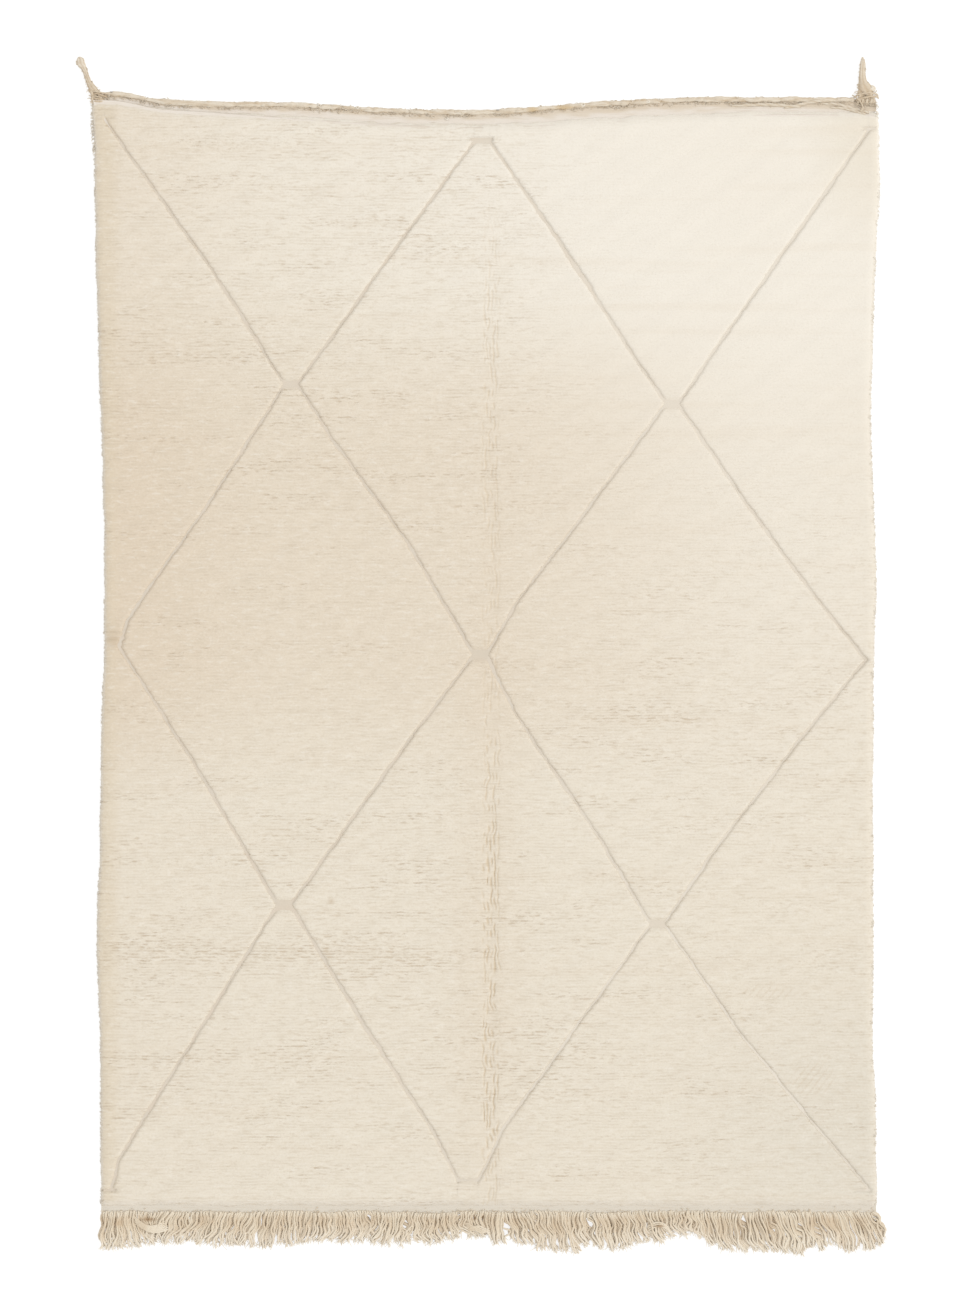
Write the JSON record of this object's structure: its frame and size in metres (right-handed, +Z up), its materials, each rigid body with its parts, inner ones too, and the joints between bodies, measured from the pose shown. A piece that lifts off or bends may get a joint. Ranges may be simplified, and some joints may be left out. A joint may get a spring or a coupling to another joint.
{
  "type": "beni ourain rug",
  "caption": "Long cream wool rug lying flat, shag pile with a sunken diamond lattice, flat-woven ends, a corded upper end with corner ties and a warp fringe at the lower end.",
  "frame": {"origin": "on the floor, under the middle of the whole piece with its fringe and ties", "axes": "+Y along the rug towards its corded end, +X across it, +Z up from the floor through the pile"},
  "size_m": [2.0814, 3.1006, 0.0194],
  "materials": {
    "cream_wool": "matt, uneven cream knotted pile",
    "tan_wool": "matt, twisted tan wool",
    "warp_wool": "matt, loosely plied warp ends"
  },
  "bodies": {
    "root": {"rug_field": "cream_wool", "top_cord": "tan_wool", "left_tie": "warp_wool", "right_tie": "warp_wool", "fringe": "warp_wool"}
  },
  "joints": []
}
